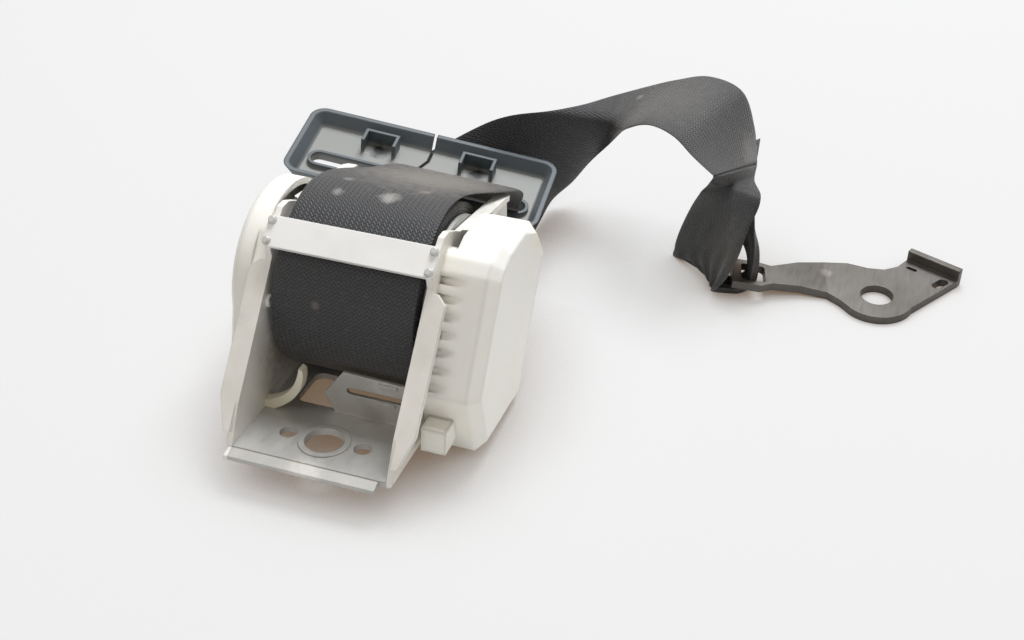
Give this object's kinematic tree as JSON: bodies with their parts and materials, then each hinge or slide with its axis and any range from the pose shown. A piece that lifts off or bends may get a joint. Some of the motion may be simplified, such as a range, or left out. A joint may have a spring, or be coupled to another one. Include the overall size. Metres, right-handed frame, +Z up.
{
  "type": "seat belt retractor",
  "caption": "Seat belt retractor with wound webbing over its open frame, a slotted bezel riding on the strap, and a sewn end loop through an anchor plate.",
  "frame": {"origin": "centre of the retractor's bolt hole, on the base plate's inner surface", "axes": "+X along the spool axis towards the spring cover, +Y from the bolt hole end of the base plate towards the bezel, +Z up from the surface it lies on"},
  "size_m": [0.2416, 0.2016, 0.0703],
  "materials": {
    "zinc_steel": "zinc plated, dulled",
    "bright_steel": "bright, fine scratches",
    "bar_steel": "dark hardened steel",
    "spring_steel": "blued strip",
    "spool_alloy": "die cast",
    "cream_plastic": "moulded, satin",
    "natural_nylon": "moulded, satin",
    "bezel_plastic": "moulded, finely grained",
    "webbing": "woven polyester"
  },
  "bodies": {
    "retractor": {"frame_base": "zinc_steel", "left_wall": "zinc_steel", "right_wall": "zinc_steel", "tie_bar": "bright_steel", "tenon_heads": "bright_steel", "guide_finger": "cream_plastic", "left_bush": "cream_plastic", "right_bush": "cream_plastic", "left_cover": "cream_plastic", "right_cover": "natural_nylon", "spring_cup": "zinc_steel", "power_spring": "spring_steel", "pawl_pin": "bar_steel", "pawl_spring": "spring_steel", "sensor_housing": "cream_plastic", "sensor_ball": "bright_steel", "webbing": "webbing", "sewn_loop": "webbing"},
    "spool": {"spool": "spool_alloy", "webbing_roll": "webbing", "torsion_bar": "bar_steel", "spring_arbor": "cream_plastic", "ratchet_wheel": "bar_steel", "pilot_wheel": "cream_plastic"},
    "pawl": {"locking_pawl": "bar_steel"},
    "lever": {"sensor_lever": "cream_plastic"},
    "bezel": {"guide_bezel": "bezel_plastic"},
    "anchor": {"anchor_plate": "zinc_steel"}
  },
  "joints": [
    {"name": "spool_turn", "type": "hinge", "parent": "retractor", "child": "spool", "pos_m": [0, 0.04917, 0.02671], "axis": [1, 0, 0], "continuous": true},
    {"name": "pawl_swing", "type": "hinge", "parent": "retractor", "child": "pawl", "pos_m": [-0.0302, 0.02802, 0.01686], "axis": [1, 0, 0], "range_deg": [0, 8.5], "stiffness_Nm_per_rad": 0.002, "springref_deg": -4.98},
    {"name": "lever_swing", "type": "hinge", "parent": "retractor", "child": "lever", "pos_m": [-0.0328, 0.02006, 0.00332], "axis": [1, 0, 0], "range_deg": [0, 7]},
    {"name": "bezel_slide", "type": "slide", "parent": "retractor", "child": "bezel", "axis": [0.2217, -0.7148, 0.6632], "range_m": [0, 0.01]},
    {"name": "anchor_swing", "type": "hinge", "parent": "retractor", "child": "anchor", "pos_m": [0.1008, 0.1348, -0.00492], "axis": [0.2588, -0.9659, 0], "range_deg": [0, 20]}
  ]
}
